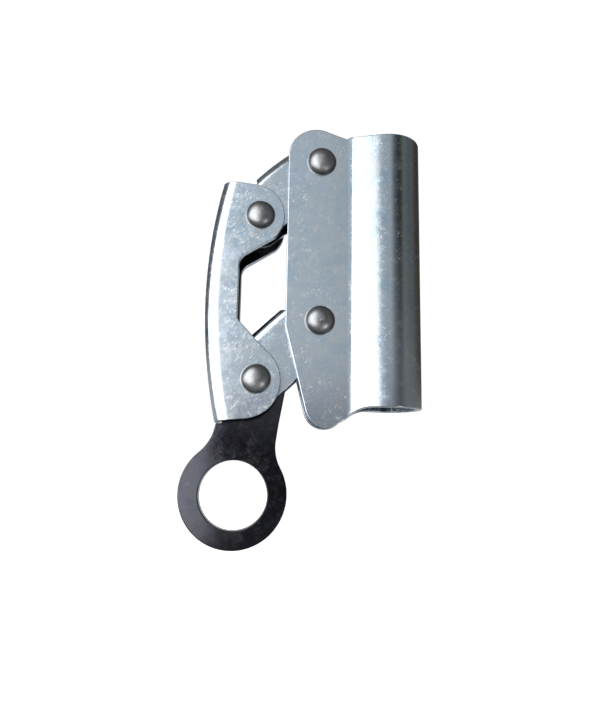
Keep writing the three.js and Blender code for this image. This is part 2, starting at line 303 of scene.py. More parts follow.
def rounded_rims(loops, half, edge, steps):
    """Rings of points round each loop, from the upper face over the rounded edge to the lower face.

    Returns the points (u, v, t), their directions out of the metal, the faces between the rings, and the
    loops drawn in to where the flat faces begin.
    """
    quarter = [math.radians(90 * k / steps) for k in range(steps + 1)]
    profile = [(angle, 1) for angle in quarter] + [(angle, -1) for angle in reversed(quarter)]
    flat, ways, quads, inset = [], [], [], []
    for index, loop in enumerate(loops):
        out, stretch = outward(loop, index > 0)
        first, size = len(flat), len(loop)
        for angle, side in profile:
            back = edge * (1 - math.sin(angle))
            moved = loop - out * (back * stretch)[:, None]
            level = side * (half - edge * (1 - math.cos(angle)))
            for spot, way in zip(moved, out):
                flat.append((spot[0], spot[1], level))
                ways.append((way[0] * math.sin(angle), way[1] * math.sin(angle), side * math.cos(angle)))
        inset.append(loop - out * (edge * stretch)[:, None])
        for ring in range(len(profile) - 1):
            for k in range(size):
                a = first + ring * size + k
                b = first + ring * size + (k + 1) % size
                quads.append((a, b, b + size, a + size))
    return flat, ways, quads, inset


def cover(name, loops, spots, links):
    """Triangles over the metal within loops, by index into the loops' points and then the spots."""
    points, edges = [], []
    for loop in loops:
        base, size = len(points), len(loop)
        points += [Vector(tuple(spot)) for spot in loop]
        edges += [(base + k, base + (k + 1) % size) for k in range(size)]
    edges += [(len(points) + a, len(points) + b) for a, b in links]
    points += [Vector(tuple(spot)) for spot in spots]
    found, _, triangles, origin, _, _ = delaunay_2d_cdt(points, edges, [], 0, 1e-7, True)
    if not all(origin):
        raise ValueError(name + ": the outline crosses itself")
    centres = np.array([[sum(found[i][k] for i in tri) / 3 for k in (0, 1)] for tri in triangles])
    keep = inside(centres, loops)
    return [tuple(origin[i][0] for i in tri) for tri, ok in zip(triangles, keep) if ok]


def folded(fold, flat, ways):
    """Folds a blank's points, and turns their directions out of the metal with them."""
    u, v, t = np.array(flat, float).T
    way = np.array(ways, float)
    small = 1e-3

    def slope(du, dv, dt):
        ahead = np.stack(fold(u + du, v + dv, t + dt), axis=1)
        return ahead - np.stack(fold(u - du, v - dv, t - dt), axis=1)

    by_u, by_v, by_t = slope(small, 0, 0), slope(0, small, 0), slope(0, 0, small)
    across = np.cross(by_u, by_v)
    normals = (
        way[:, :1] * np.cross(by_v, by_t)
        + way[:, 1:2] * np.cross(by_t, by_u)
        + way[:, 2:] * across
    )
    normals *= np.sign(np.sum(across * by_t, axis=1))[:, None]
    normals /= np.linalg.norm(normals, axis=1)[:, None]
    return np.stack(fold(u, v, t), axis=1), normals


def blank(name, outline, holes, fold, half, edge, columns=(), step=3.0, longest=1.5, steps=3):
    """A plate cut to outline with holes, its edges rounded by edge, then folded into place.

    fold takes arrays u, v, t, where t is the distance out of the plate's middle, and returns x, y, z.
    The faces on the side of negative t have material index 1.
    """
    loops = [np.array(divide(loop, longest)) for loop in (outline, *holes)]
    flat, ways, quads, inset = rounded_rims(loops, half, edge, steps)
    spots, links = inner_columns(inset, columns, step, 0.45)
    rings = 2 * (steps + 1)
    upper_ids, lower_ids, start = [], [], 0
    for loop in loops:
        size = len(loop)
        upper_ids += range(start, start + size)
        start += rings * size
        lower_ids += range(start - size, start)
    for level, ids in ((1, upper_ids), (-1, lower_ids)):
        for spot in spots:
            ids.append(len(flat))
            flat.append((spot[0], spot[1], level * half))
            ways.append((0, 0, level))
    triangles = cover(name, inset, spots, links)
    upper = [tuple(upper_ids[i] for i in tri) for tri in triangles]
    lower = [tuple(lower_ids[i] for i in reversed(tri)) for tri in triangles]
    vertices, normals = folded(fold, flat, ways)
    piece = new_piece(name, vertices * MM, quads + upper + lower, normals)
    index = np.zeros(len(piece.data.polygons), np.int32)
    index[len(quads) + len(upper):] = 1
    piece.data.polygons.foreach_set("material_index", index)
    return piece


def flat_fold(u, v, t):
    """A plate that stays flat, in the plane of the side view."""
    return u, -t, v


def sleeve_line():
    """Middle line of the sleeve's plate in plan, from the tube's back round to a cheek.

    Returns lengths along the line, x, y and the angle of the outward normal.
    """
    radius = TUBE_OUT - PLATE / 2
    turn = math.radians(90 + THROAT_ANGLE)
    ease = THROAT_EASE
    tube_end = radius * turn
    fold_length = THROAT_FOLD * math.radians(THROAT_ANGLE)
    step = 0.01

    def walk(throat):
        fold_start = tube_end + throat
        s = np.arange(0, 80, step)
        angle = np.minimum(s / radius, turn)
        near = np.abs(s - tube_end) < ease
        angle = np.where(near, turn - (tube_end + ease - s) ** 2 / (4 * ease * radius), angle)
        bent_back = np.clip(s - fold_start, 0, fold_length) / THROAT_FOLD
        angle = np.where(s > fold_start, turn - bent_back, angle)
        x = radius - np.concatenate([[0], np.cumsum(np.sin((angle[1:] + angle[:-1]) / 2))]) * step
        y = np.concatenate([[0], np.cumsum(np.cos((angle[1:] + angle[:-1]) / 2))]) * step
        return s, x, y, angle

    cheek = CHEEK_OUT - PLATE / 2
    first = 10.0
    off = walk(first)[2][-1] - cheek
    return walk(first + off / math.sin(math.radians(THROAT_ANGLE)))


LINE_S, LINE_X, LINE_Y, LINE_TURN = sleeve_line()


def sleeve_path(s):
    """Middle line of the sleeve at length s: x, y and the outward normal."""
    turn = np.interp(s, LINE_S, LINE_TURN)
    return np.interp(s, LINE_S, LINE_X), np.interp(s, LINE_S, LINE_Y), np.cos(turn), np.sin(turn)


def sleeve_fold(u, v, t):
    x, y, nx, ny = sleeve_path(np.abs(u))
    side = np.where(u < 0, -1.0, 1.0)
    return x + nx * t, side * (y + ny * t), v


def sleeve_reach(x):
    """Length along the sleeve's middle line at which it comes to x."""
    return float(np.interp(-x, -LINE_X, LINE_S))


class Channel:
    """A folded channel whose back is curved about centre, its cheeks pointing to the centre.

    line holds its middle line in section: length along it, radius from the centre, y, and the angle that
    it has turned.
    """

    def __init__(self, centre, radius, half, wall, bend, base):
        self.centre = centre
        self.radius = radius
        self.base = math.radians(base)
        self.mid = bend - wall / 2
        self.flat = half - bend
        self.turn = self.flat + self.mid * math.pi / 2
        self.limit = radius - wall / 2
        ease = FOLD_EASE * self.mid
        step = 0.01
        s = np.arange(0, 60, step)
        lead = np.where(s < self.flat + ease, (s - self.flat + ease) ** 2 / (4 * ease * self.mid), 0)
        trail = math.pi / 2 - (self.turn + ease - s) ** 2 / (4 * ease * self.mid)
        angle = np.clip((s - self.flat) / self.mid, 0, math.pi / 2)
        angle = np.where(np.abs(s - self.flat) < ease, lead, angle)
        angle = np.where(np.abs(s - self.turn) < ease, trail, angle)
        half_way = (angle[1:] + angle[:-1]) / 2
        y = np.concatenate([[0], np.cumsum(np.cos(half_way))]) * step
        drop = np.concatenate([[0], np.cumsum(np.sin(half_way))]) * step
        shift = y[-1] - (half - wall / 2)
        self.flat -= shift
        self.turn -= shift
        keep = s >= shift
        self.line = s[keep] - shift, self.limit - drop[keep], y[keep] - shift, angle[keep]
        self.line[0][0] = 0.0

    def fold(self, u, v, t):
        s = np.abs(u)
        side = np.where(u < 0, -1.0, 1.0)
        along, radii, ys, angles = self.line
        angle = np.interp(s, along, angles)
        radius = np.interp(s, along, radii) + np.cos(angle) * t
        y = side * (np.interp(s, along, ys) + np.sin(angle) * t)
        turn = self.base + v / self.radius
        return self.centre[0] + radius * np.cos(turn), y, self.centre[1] + radius * np.sin(turn)

    def spot(self, point):
        """Where a point of the side view lies on the blank, and its distance from the centre."""
        dx, dz = point[0] - self.centre[0], point[1] - self.centre[1]
        radius = math.hypot(dx, dz)
        turn = math.atan2(dz, dx) - self.base
        turn = (turn + math.pi) % (2 * math.pi) - math.pi
        along, radii = self.line[0], self.line[1]
        first = int(np.searchsorted(-radii, -self.limit, side="right")) - 1
        s = float(np.interp(-radius, -radii[first:], along[first:]))
        return (s, turn * self.radius), radius

    def outline(self, side):
        """Blank of a side view that starts and ends outside the back."""
        half = []
        for point in divide(side, 0.4, closed=False):
            spot, radius = self.spot(point)
            if radius <= self.limit:
                half.append(spot)
        back = self.spot((self.centre[0] + self.limit, self.centre[1]))[0][0]
        ends = [(min(back, half[0][0]), half[0][1]), (min(back, half[-1][0]), half[-1][1])]
        half = [ends[0]] + thin(half) + [ends[1]]
        return half + [(-u, v) for u, v in reversed(half)]

    def hole(self, centre, radius, count=48):
        loop = [self.spot(point)[0] for point in circle(centre, radius, count)]
        return [loop, [(-u, v) for u, v in loop]]

    def columns(self, reach):
        ease = FOLD_EASE * self.mid
        bends = list(np.linspace(max(0.3, self.flat - ease), self.turn + ease, 16))
        far = [self.turn + ease + 1.5 + 5 * k for k in range(int(reach // 5))]
        half = bends + far
        return [-u for u in reversed(half)] + [0.0] + half


def thin(points, tolerance=0.004):
    """Drops the points of a line that lie straight between their neighbours."""
    kept = [points[0]]
    for i in range(1, len(points) - 1):
        a, b, c = np.array(kept[-1]), np.array(points[i]), np.array(points[i + 1])
        chord = c - a
        length = np.linalg.norm(chord)
        off = abs(chord[0] * (b - a)[1] - chord[1] * (b - a)[0]) / max(length, 1e-9)
        if off > tolerance or math.dist(points[i], kept[-1]) > 1.5:
            kept.append(points[i])
    kept.append(points[-1])
    return kept


# ---- Turned and wound pieces ----

def turned(name, profile, centre, segments=64):
    """A closed or end-to-end profile of (radius, y) turned about a line along Y."""
    vertices, faces = [], []
    rings = []
    for radius, y in profile:
        if radius < 1e-6:
            vertices.append((centre[0], y, centre[1]))
            rings.append([len(vertices) - 1])
            continue
        ring = []
        for k in range(segments):
            x, z = polar(centre, radius, 360 * k / segments)
            vertices.append((x, y, z))
            ring.append(len(vertices) - 1)
        rings.append(ring)
    closed = profile[0][0] > 1e-6
    pairs = list(zip(rings, rings[1:])) + ([(rings[-1], rings[0])] if closed else [])
    for one, two in pairs:
        for k in range(segments):
            after = (k + 1) % segments
            corners = [one[k % len(one)], one[after % len(one)], two[after % len(two)], two[k % len(two)]]
            unique = list(dict.fromkeys(corners))
            if len(unique) > 2:
                faces.append(unique)
    piece = new_piece(name, np.array(vertices) * MM, faces)
    piece.data.set_sharp_from_angle(angle=math.radians(38))
    return piece


def rivet(name, centre):
    """Domed at both ends, each dome in a thin rim pressed flat on the cheek."""
    rim = RIVET_HEAD + RIVET_SKIRT
    half = [
        (RIVET_SHANK, 0), (RIVET_SHANK, CHEEK_OUT + 0.02), (rim - 0.06, CHEEK_OUT + 0.02),
        (rim, CHEEK_OUT + 0.07), (rim - 0.12, CHEEK_OUT + 0.15), (RIVET_HEAD - 0.12, CHEEK_OUT + 0.17),
    ]
    under = CHEEK_OUT + GAP
    for k in range(19):
        x, y = math.cos(math.radians(5 * k)), math.sin(math.radians(5 * k))
        half.append((RIVET_HEAD * x if k < 18 else 0.0, under + RIVET_RIM + RIVET_DOME * y))
    bottom = [(radius, -y) for radius, y in reversed(half[1:])]
    piece = turned(name, bottom + half, centre)
    # The rim attribute grows from 0 at half the head's radius to 1 at its edge; it places the painted shade
    # round the dome's edge.
    spots = np.array([v.co for v in piece.data.vertices]) / MM
    away = np.hypot(spots[:, 0] - centre[0], spots[:, 2] - centre[1]) / RIVET_HEAD
    share = np.clip((away - 0.5) / 0.5, 0, 1)
    rim_shade_layer = piece.data.attributes.new("rim", "FLOAT", "POINT")
    rim_shade_layer.data.foreach_set("value", np.where(away > 1.02, 0.0, share ** 2).astype(np.float32))
    return piece


def bush(name, centre, half=CHEEK_IN - GAP):
    edge = 0.3
    profile = [
        (RIVET_HOLE + edge, -half), (BUSH_RADIUS - edge, -half), (BUSH_RADIUS, -half + edge),
        (BUSH_RADIUS, half - edge), (BUSH_RADIUS - edge, half), (RIVET_HOLE + edge, half),
        (RIVET_HOLE, half - edge), (RIVET_HOLE, -half + edge),
    ]
    return turned(name, profile, centre, 48)


def dowel(name, centre):
    spot = place(centre, -DOWEL_BACK, 0)
    edge = 0.3
    half = [(DOWEL_RADIUS, DOWEL_HALF - edge), (DOWEL_RADIUS - edge, DOWEL_HALF), (0, DOWEL_HALF)]
    return turned(name, [(r, -y) for r, y in reversed(half)] + half, spot, 32)


def washer(name, side):
    low = EYE_HALF + GAP
    edge = 0.12
    inner, outer = BUSH_HOLE, WASHER_RADIUS
    profile = [
        (inner + edge, low), (outer - edge, low), (outer, low + edge), (outer, low + WASHER - edge),
        (outer - edge, low + WASHER), (inner + edge, low + WASHER), (inner, low + WASHER - edge),
        (inner, low + edge),
    ]
    return turned(name, [(r, side * y) for r, y in profile], HANDLE_LOWER, 72)


def spring(name):
    """Torsion spring: a leg to the handle's back, its turns, and a leg to the upper arm's back."""
    x, z = HANDLE_UPPER
    start = 270
    end = start + 360 * COIL_TURNS + 90.8
    line = [(x + reach, -COIL_HALF, z - COIL) for reach in (-15.6, -13, -10, -7, -5, -3.5, -2)]
    steps = 150
    for i in range(steps + 1):
        px, pz = polar(HANDLE_UPPER, COIL, start + (end - start) * i / steps)
        line.append((px, -COIL_HALF + 2 * COIL_HALF * i / steps, pz))
    leave = line[-1]
    tip = place(HANDLE_UPPER, 17.5, 9.6)
    for share in (0.15, 0.3, 0.5, 0.75, 1):
        px = leave[0] + (tip[0] - leave[0]) * share
        pz = leave[2] + (tip[1] - leave[2]) * share
        line.append((px, COIL_HALF, pz))
    path = np.array(line)
    ahead = np.gradient(path, axis=0)
    ahead /= np.linalg.norm(ahead, axis=1)[:, None]
    across = np.array([0.0, 1.0, 0.0])
    sides = 12
    vertices, faces, normals = [], [], []
    for spot, way in zip(path, ahead):
        first = np.cross(way, across)
        first /= np.linalg.norm(first)
        second = np.cross(first, way)
        for k in range(sides):
            angle = 2 * math.pi * k / sides
            out = first * math.cos(angle) + second * math.sin(angle)
            vertices.append(spot + out * WIRE)
            normals.append(out)
    for i in range(len(path) - 1):
        for k in range(sides):
            a, b = i * sides + k, i * sides + (k + 1) % sides
            faces.append((a, b, b + sides, a + sides))
    last = (len(path) - 1) * sides
    faces.append(tuple(range(sides))[::-1])
    faces.append(tuple(last + k for k in range(sides)))
    return new_piece(name, np.array(vertices) * MM, faces, normals)


# ---- The plates ----

def sleeve():
    side = (
        arc((-7, -TUBE_HALF - 11.9), 11.9, 90, 137)
        + arc((-23.7, -52), 7.9, -43, -166)
        + [(SLEEVE_EDGE_X, -23)]
        + arc((-28.4, 44.4), 10.85, 180, 64)
        + [(-16.7, 51.6), (-15.2, TUBE_HALF)]
    )
    half = [(sleeve_reach(x), z) for x, z in side]
    loop = soften(half + [(-u, v) for u, v in reversed(half)], 0.9, 24)
    holes = []
    for centre in (SLEEVE_UPPER, SLEEVE_LOWER):
        ring = [(sleeve_reach(x), z) for x, z in circle(centre, RIVET_HOLE)]
        holes += [ring, [(-u, v) for u, v in ring]]
    radius = TUBE_OUT - PLATE / 2
    turn = math.radians(90 + THROAT_ANGLE)
    tube = [radius * math.radians(a) for a in np.arange(4, 90, 4)]
    ease = [radius * turn + k for k in np.arange(-3, 3.1, 0.6)]
    fold = [sleeve_reach(x) for x in np.arange(-13, -17.5, -0.35)]
    flat = [sleeve_reach(x) for x in (-8, -11, -20, -24, -28, -32, -36)]
    columns = sorted(tube + ease + fold + flat)
    columns = [-u for u in reversed(columns)] + [0.0] + columns
    return blank("sleeve_plate", loop, holes, sleeve_fold, PLATE / 2, SLEEVE_BEVEL, columns, 4.0)


def handle():
    side = (
        [(-80, 32.7), (-58, 32.7)]
        + arc((-52.7, 19.5), 12.45, 82, -42)
        + arc((-51.95, 0.05), 4.95, 124, 180)
        + arc((-52.9, -19.2), 4, 180, 222)
        + arc((-54.4, -43.5), 14, 53, -88)
        + [(-63.5, -58.5), (-80, -58.5)]
    )
    shape = Channel(HANDLE_CENTRE, HANDLE_RADIUS, CHEEK_OUT, PLATE, HANDLE_BEND, 180)
    holes = shape.hole(HANDLE_UPPER, RIVET_HOLE) + shape.hole(HANDLE_LOWER, RIVET_HOLE)
    outline = soften(shape.outline(side), 0.8, 24)
    columns = shape.columns(34)
    return blank("handle_channel", outline, holes, shape.fold, PLATE / 2, HANDLE_BEVEL, columns, 2.0)


def arm(name, outer, inner, web_radius, peak, side):
    centre = place(outer, peak[0], peak[1] - web_radius)
    shape = Channel(centre, web_radius, ARM_OUT, ARM_PLATE, ARM_BEND, ARM_SLOPE + 90)
    holes = shape.hole(outer, BUSH_HOLE) + shape.hole(inner, BUSH_HOLE)
    holes += shape.hole(place(inner, -DOWEL_BACK, 0), DOWEL_HOLE, 24)
    outline = soften(shape.outline(side), 0.7, 24)
    return blank(name, outline, holes, shape.fold, ARM_PLATE / 2, ARM_BEVEL, shape.columns(24), 1.5)


def upper_arm():
    edge = 8.3
    side = (
        [(-51.1, 38)]
        + arc(HANDLE_UPPER, edge, 101, 314)
        + arc(SLEEVE_UPPER, edge, -46, 130)
        + [place(HANDLE_UPPER, 26.4, 9.2), place(HANDLE_UPPER, 25.6, 16)]
    )
    return arm("upper_arm_channel", HANDLE_UPPER, SLEEVE_UPPER, 100, (13, 14), side)


def lower_arm():
    edge = 9.8
    side = (
        [(-53, -20)]
        + arc(HANDLE_LOWER, edge, 111, 314)
        + arc(SLEEVE_LOWER, edge, -46, 154)
        + [(-42, -16.5), (-45, -13)]
    )
    return arm("lower_arm_channel", HANDLE_LOWER, SLEEVE_LOWER, 250, (17, 14.4), side)


def eye_fillet(side):
    """Hollow curve from the eye plate's waist into its ring, on the side given by 1 or -1."""
    reach = EYE_OUTER + EYE_FILLET
    away = side * (EYE_WAIST + EYE_FILLET) - EYE_RIM[0]
    rise = math.sqrt(reach ** 2 - away ** 2)
    slope = math.degrees(math.asin(rise / reach))
    centre = (EYE_RIM[0] + away, EYE_RIM[1] + rise)
    start = 180 if side > 0 else 0
    return slope, arc(centre, EYE_FILLET, start, start + side * slope)


def eye_plate():
    left_slope, left = eye_fillet(-1)
    right_slope, right = eye_fillet(1)
    outline = (
        arc((0, 0), EYE_NECK, 0, 150)
        + [(-9, -17.75), (-EYE_WAIST, -18.15)]
        + left
        + arc(EYE_RIM, EYE_OUTER, 180 - left_slope, 360 + right_slope, 4)
        + right[::-1]
        + [(EYE_NECK, -14)]
    )
    lean = math.radians(-EYE_LEAN)

    def swing(point):
        x, z = point
        return (
            HANDLE_LOWER[0] + x * math.cos(lean) - z * math.sin(lean),
            HANDLE_LOWER[1] + x * math.sin(lean) + z * math.cos(lean),
        )

    holes = [circle(HANDLE_LOWER, BUSH_HOLE), circle(swing((0, -EYE_DROP)), EYE_HOLE, 96)]
    loop = soften([swing(p) for p in outline], 1.2, 24)
    return blank("eye_plate_blank", loop, holes, flat_fold, EYE_HALF, EYE_BEVEL, (), 3.0, 1.2, 4)


# ---- The jaws ----

def jaw_face(centre):
    """Toothed face of a jaw about its rivet, from its top down to the nose."""
    hub = polar(centre, JAW_OPEN_REACH - JAW_FACE_RADIUS, JAW_OPEN)
    pitch = (JAW_FACE_LOW - JAW_FACE_TOP) / JAW_TEETH
    points = []
    for i in range(JAW_TEETH):
        points.append(polar(hub, JAW_FACE_RADIUS - TOOTH_DEPTH, JAW_FACE_TOP + pitch * i))
        points.append(polar(hub, JAW_FACE_RADIUS, JAW_FACE_TOP + pitch * (i + 0.85)))
    return points


def jaw(name, centre):
    """A cast jaw: a narrow hub and tail, and a wide toothed head, joined into one mesh."""
    x, z = centre
    spot = place(centre, -DOWEL_BACK, 0)
    nose = [polar(centre, 15.5, -34), polar(centre, 23, -13), polar(centre, 24.6, -8)]
    teeth = jaw_face(centre)[::-1]
    top = [(x + 11, z + JAW_TOP), (x + 5, z + JAW_TOP)]
    core = (
        arc(centre, JAW_HUB, 90, 164)
        + arc(spot, 3.9, 150, 300, 12)
        + arc(centre, JAW_HUB, -76, -62)
        + nose
        + teeth
        + top
    )
    head = arc(centre, JAW_CLEAR + 0.05, 66, -54) + nose + teeth + top
    holes = [circle(centre, BUSH_HOLE), circle(spot, DOWEL_HOLE, 24)]

    def slab(part, outline, cuts, half):
        loop = soften(outline, 0.35, 24)
        return blank(part, loop, cuts, flat_fold, half, JAW_BEVEL, (), 3.0, 2.0, 2)

    body = slab(name, core, holes, JAW_CORE_HALF)
    wide = slab(name + "_head", head, [], JAW_HEAD_HALF)
    join = body.modifiers.new("join", "BOOLEAN")
    join.operation = "UNION"
    join.solver = "EXACT"
    join.object = wide
    shown = body.evaluated_get(bpy.context.evaluated_depsgraph_get())
    mesh = bpy.data.meshes.new_from_object(shown)
    body.modifiers.clear()
    body.data = mesh
    bpy.data.objects.remove(wide)
    mesh.shade_smooth()
    mesh.set_sharp_from_angle(angle=math.radians(32))
    return body


# ---- Materials ----

class Nodes:
    """Short ways to add and link nodes of one material or world."""

    def __init__(self, tree):
        self.tree = tree

    def add(self, kind, **settings):
        node = self.tree.nodes.new(kind)
        for key, value in settings.items():
            setattr(node, key, value)
        return node

    def link(self, source, target):
        self.tree.links.new(source, target)

    def feed(self, socket, value):
        if isinstance(value, bpy.types.NodeSocket):
            self.link(value, socket)
        else:
            socket.default_value = value

    def math(self, operation, a, b=0.0, clamp=False):
        node = self.add("ShaderNodeMath", operation=operation, use_clamp=clamp)
        self.feed(node.inputs[0], a)
        self.feed(node.inputs[1], b)
        return node.outputs[0]

    def ramp(self, value, stops):
        """stops are (position, colour or grey)."""
        node = self.add("ShaderNodeValToRGB")
        band = node.color_ramp
        band.interpolation = "LINEAR"
        while len(band.elements) < len(stops):
            band.elements.new(0.5)
        for element, (position, colour) in zip(band.elements, stops):
            element.position = position
            shade = (colour, colour, colour) if isinstance(colour, (int, float)) else colour
            element.color = (*shade, 1)
        self.feed(node.inputs[0], value)
        return node.outputs[0]

    def mapped(self, source, scale, turn=(0, 0, 0), shift=(0, 0, 0)):
        node = self.add("ShaderNodeMapping")
        self.link(source, node.inputs["Vector"])
        node.inputs["Scale"].default_value = scale
        node.inputs["Rotation"].default_value = [math.radians(a) for a in turn]
        node.inputs["Location"].default_value = shift
        return node.outputs[0]

    def noise(self, vector, scale, detail=3.0, rough=0.5, distort=0.0):
        node = self.add("ShaderNodeTexNoise")
        self.link(vector, node.inputs["Vector"])
        node.inputs["Scale"].default_value = scale
        node.inputs["Detail"].default_value = detail
        node.inputs["Roughness"].default_value = rough
        node.inputs["Distortion"].default_value = distort
        return node.outputs["Fac"]

    def blend(self, share, a, b, mode="MIX"):
        node = self.add("ShaderNodeMix", data_type="RGBA", blend_type=mode)
        self.feed(node.inputs[0], share)
        for socket, value in ((node.inputs[6], a), (node.inputs[7], b)):
            if isinstance(value, tuple):
                value = (*value, 1)
            self.feed(socket, value)
        return node.outputs[2]


def scratches(kit, spot, turn, length, width, share):
    """Thin straight scratches: stretched noise, cut to its narrow ridges and broken up by a coarser one."""
    turned_spot = kit.mapped(spot, (1, 1, 1), turn)
    fine = kit.noise(kit.mapped(turned_spot, (length, width, width)), 1.0, 2.0, 0.6)
    line = kit.ramp(fine, [(0.0, 0.0), (0.486, 0.0), (0.497, 1.0), (0.503, 1.0), (0.514, 0.0)])
    gate = kit.noise(kit.mapped(spot, (1, 1, 1), (0, 0, 0), turn), 240.0, 2.0, 0.5)
    open_gate = kit.ramp(gate, [(0.0, 0.0), (1 - share, 0.0), (min(1.0, 1.06 - share), 1.0)])
    return kit.math("MULTIPLY", line, open_gate)


SCRATCHES = (                 # direction in degrees, frequency along and across (per metre), share left open
    (27, 150.0, 3000.0, 0.42),
    (-62, 190.0, 3400.0, 0.45),
    (101, 170.0, 2700.0, 0.42),
)
FLECK_TURN = 52
FLECK_SCALE = (520.0, 1500.0, 1500.0)
BUMP_DEPTH = 0.00001
# Width in metres over which the painted shade on the tube fades in.
TUBE_SHADE_FADE = 0.004


def steel(name, light, dark, tint, rough, marks=0.5, peel=1.0, rim=None, tube_shade_from=None):
    """Plated or bare metal: cloudy tone and tint, white flecks, dark pits, scratches and orange peel.

    light, dark and tint are its colours, marks is how much the flecks and scratches show, and peel is the
    strength of the bumps. rim is the colour where the mesh's rim attribute is 1, a painted shade that darkens
    the edges of the rivet domes. The last argument is the x in metres from which the base colour over the
    tube is fully darkened, a painted shade.
    """
    material = bpy.data.materials.new(name)
    material.use_nodes = True
    tree = material.node_tree
    kit = Nodes(tree)
    shader = tree.nodes["Principled BSDF"]
    shader.inputs["Metallic"].default_value = 1.0
    spot = kit.add("ShaderNodeTexCoord").outputs["Object"]
    broad = kit.noise(spot, 70.0, 4.0, 0.6, 0.5)
    hue = kit.noise(kit.mapped(spot, (1, 1, 1), (0, 0, 0), (0.3, 0.1, 0.7)), 160.0, 3.0, 0.6)
    cloud = kit.noise(spot, 420.0, 5.0, 0.65, 0.4)
    fine = kit.noise(spot, 1150.0, 3.0, 0.6)
    grain = kit.noise(spot, 2600.0, 2.0, 0.5)
    tone = kit.math("ADD", kit.math("MULTIPLY", broad, 0.45), kit.math("MULTIPLY", cloud, 0.55))
    tone = kit.ramp(tone, [(0.36, 0.0), (0.64, 1.0)])
    base = kit.blend(tone, dark, light)
    base = kit.blend(kit.ramp(hue, [(0.42, 0.0), (0.62, 0.85)]), base, tint)
    patch = kit.ramp(kit.noise(spot, 130.0, 3.0, 0.6), [(0.44, 0.15), (0.6, 1.0)])
    slanted = kit.mapped(kit.mapped(spot, (1, 1, 1), (0, FLECK_TURN, 0)), FLECK_SCALE)
    strokes = kit.noise(slanted, 1.0, 2.5, 0.55)
    flecks = kit.math("MULTIPLY", kit.ramp(strokes, [(0.59, 0.0), (0.68, 1.0)]), patch)
    pits = kit.ramp(fine, [(0.25, 1.0), (0.33, 0.0)])
    base = kit.blend(kit.math("MULTIPLY", flecks, marks), base, (0.97, 0.98, 1.0))
    base = kit.blend(kit.math("MULTIPLY", pits, 0.25 * marks), base, tuple(0.5 * c for c in dark))
    lines = 0.0
    for turn, length, width, share in SCRATCHES:
        lines = kit.math("ADD", lines, scratches(kit, spot, (0, turn, 0), length, width, share), True)
    base = kit.blend(kit.math("MULTIPLY", lines, marks), base, (0.98, 0.99, 1.0))
    # Painted shade: from the given x onward, over the tube, the base colour is multiplied down to about three
    # quarters.
    if tube_shade_from is not None:
        x = kit.add("ShaderNodeSeparateXYZ")
        kit.link(spot, x.inputs[0])
        tube_shade_mask = kit.math("SUBTRACT", x.outputs[0], tube_shade_from - TUBE_SHADE_FADE)
        tube_shade_mask = kit.math("MULTIPLY", tube_shade_mask, 1 / TUBE_SHADE_FADE, True)
        base = kit.blend(tube_shade_mask, base, (0.76, 0.77, 0.78), "MULTIPLY")
    # Painted shade: where the rim attribute rises, the base colour goes to the dark rim colour.
    if rim is not None:
        edge = kit.add("ShaderNodeAttribute", attribute_name="rim").outputs["Fac"]
        base = kit.blend(edge, base, rim)
    kit.link(base, shader.inputs["Base Color"])
    wear = kit.math("MULTIPLY", kit.math("SUBTRACT", cloud, 0.5), 0.16)
    wear = kit.math("ADD", wear, kit.math("MULTIPLY", kit.math("SUBTRACT", broad, 0.5), 0.16))
    uneven = kit.math("MULTIPLY", lines, 0.3 * marks)
    uneven = kit.math("ADD", uneven, kit.math("MULTIPLY", flecks, 0.35 * marks))
    kit.link(kit.math("ADD", kit.math("ADD", wear, rough), uneven, True), shader.inputs["Roughness"])
    height = kit.math("ADD", kit.math("MULTIPLY", broad, 1.3 * peel), kit.math("MULTIPLY", cloud, 1.1 * peel))
    height = kit.math("ADD", height, kit.math("MULTIPLY", fine, 0.8 * peel))
    height = kit.math("ADD", height, kit.math("MULTIPLY", grain, 0.25 * peel))
    height = kit.math("SUBTRACT", height, kit.math("MULTIPLY", lines, 0.3))
    node = kit.add("ShaderNodeBump")
    node.inputs["Strength"].default_value = 1.0
    node.inputs["Distance"].default_value = BUMP_DEPTH
    kit.link(height, node.inputs["Height"])
    kit.link(node.outputs["Normal"], shader.inputs["Normal"])
    return material


ZINC_LOOK = ((0.67, 0.745, 0.825), (0.53, 0.625, 0.71), (0.67, 0.71, 0.745), 0.185, 0.8)
ZINC = steel("zinc_plate", *ZINC_LOOK)
# The sleeve's zinc, with its tube right of x = -2 mm darkened in colour: painted shade for the tube's darker
# look.
ZINC_TUBE_SHADE = steel("zinc_tube_painted_shade", *ZINC_LOOK, tube_shade_from=-0.002)
# Near-black zinc for the inner faces of the handle and arms: painted shade for the dark inside of the
# channels.
ZINC_INSIDE_SHADE = steel("zinc_inside_painted_shade", (0.07, 0.072, 0.075), (0.03, 0.031, 0.033), (0.05, 0.05, 0.05), 0.35, 0.12)
EYE_STEEL = steel(
    "eye_steel", (0.076, 0.08, 0.094), (0.052, 0.054, 0.068), (0.066, 0.063, 0.07), 0.14, 0.02, 0.18,
)
# Its near-black rim colour is painted shade round the edges of each rivet dome.
RIVET_STEEL = steel(
    "rivet_steel", (0.47, 0.48, 0.485), (0.29, 0.295, 0.30), (0.42, 0.42, 0.415), 0.34, 0.35, 1.8,
    rim=(0.10, 0.105, 0.11),
)
JAW_STEEL = steel("jaw_steel", (0.30, 0.29, 0.28), (0.17, 0.165, 0.16), (0.25, 0.22, 0.19), 0.4, 0.4, 2.5)
BRONZE = steel("bush_bronze", (0.60, 0.44, 0.24), (0.45, 0.31, 0.16), (0.55, 0.36, 0.20), 0.28, 0.3)
BRIGHT = steel("bright_steel", (0.64, 0.66, 0.68), (0.50, 0.52, 0.54), (0.62, 0.60, 0.58), 0.2, 0.3)


def finish_piece(piece, body, slot, nodes, *materials):
    """Paints a piece, the second material on its inner faces, attaches it to its body and hides the CAD nodes
    it replaces.
    """
    for material in materials:
        piece.data.materials.append(material)
    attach(piece, body)
    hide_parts(*nodes)


